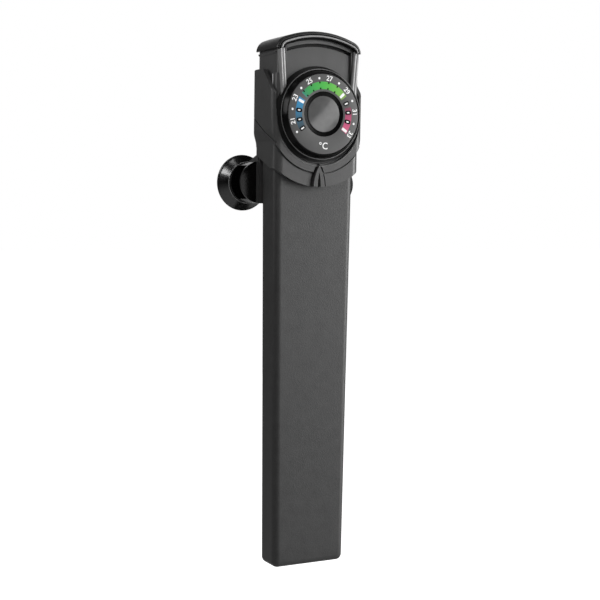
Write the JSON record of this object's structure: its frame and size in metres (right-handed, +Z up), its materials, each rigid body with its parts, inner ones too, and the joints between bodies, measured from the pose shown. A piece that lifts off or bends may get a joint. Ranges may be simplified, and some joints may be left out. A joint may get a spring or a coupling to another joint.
{
  "type": "submersible aquarium heater",
  "caption": "Flat submersible aquarium heater with a large temperature dial and a moulded glass holder with suction cups.",
  "frame": {"origin": "in the face of the glass, midway between the centres of the two suction cups", "axes": "+X to the right seen from the front, +Y back into the glass so that the dial faces -Y, +Z up along the casing"},
  "size_m": [0.0693, 0.0443, 0.2551],
  "materials": {
    "casing_plastic": "fine-grained matt moulding",
    "head_plastic": "fine-grained satin moulding",
    "cap_plastic": "satin moulding",
    "holder_plastic": "satin moulding",
    "trim_gloss": "polished moulding",
    "dial_gloss": "polished black moulding",
    "scale_print": "printed disc",
    "button_gloss": "satin-gloss moulding",
    "cup_rubber": "glossy flexible vinyl",
    "seal_rubber": "soft rubber",
    "silicone": "moulded silicone",
    "gland_plastic": "moulded nylon",
    "element_aluminium": "mill finish",
    "heating_ceramic": "fired ceramic",
    "contact_brass": "tinned strip",
    "insulation_film": "polyimide film",
    "steel": "turned steel",
    "board_laminate": "glass-epoxy laminate",
    "component_plastic": "moulded component cases",
    "wire_silicone": "silicone lead",
    "clear_guide": "clear moulding",
    "fuse_ceramic": "ceramic sleeve"
  },
  "bodies": {
    "holder": {"holder": "holder_plastic"},
    "heater": {"casing": "casing_plastic", "casing_gasket": "silicone", "foot_cushion": "silicone", "heating_stones": "heating_ceramic", "electrode_front": "contact_brass", "electrode_back": "contact_brass", "insulating_sleeve": "insulation_film", "element_tube": "element_aluminium", "tube_plugs": "silicone", "spreader_front": "element_aluminium", "spreader_back": "element_aluminium", "bulkhead": "silicone", "thermal_fuse": "fuse_ceramic", "temperature_sensor": "component_plastic", "lead_wires": "wire_silicone", "head_housing": "head_plastic", "front_panel": "head_plastic", "corner_trim_left": "trim_gloss", "corner_trim_right": "trim_gloss", "cap_gasket": "seal_rubber", "top_cap": "cap_plastic", "control_board": "board_laminate", "board_screws": "steel", "potentiometer": "component_plastic", "relay": "component_plastic", "capacitor": "component_plastic", "board_components": "component_plastic", "status_led": "clear_guide", "light_guide": "clear_guide", "gland_body": "gland_plastic", "gland_bush": "seal_rubber", "gland_nut": "gland_plastic", "spindle_seal": "seal_rubber"},
    "dial": {"spindle": "steel", "dial_knob": "dial_gloss", "scale_disc": "scale_print", "dial_screw": "steel", "dial_button": "button_gloss"},
    "cup_left": {"suction_cup_left": "cup_rubber"},
    "cup_right": {"suction_cup_right": "cup_rubber"}
  },
  "joints": [
    {"name": "heater_lift", "type": "slide", "parent": "holder", "child": "heater", "axis": [0, 0, 1], "range_m": [0, 0.24]},
    {"name": "dial_turn", "type": "hinge", "parent": "heater", "child": "dial", "pos_m": [0, -0.0285, 0.032], "axis": [0, -1, 0], "range_deg": [0, 302]},
    {"name": "cup_left_turn", "type": "hinge", "parent": "holder", "child": "cup_left", "pos_m": [-0.021, 0, 0], "axis": [0, 1, 0], "continuous": true},
    {"name": "cup_right_turn", "type": "hinge", "parent": "holder", "child": "cup_right", "pos_m": [0.021, 0, 0], "axis": [0, 1, 0], "continuous": true}
  ]
}
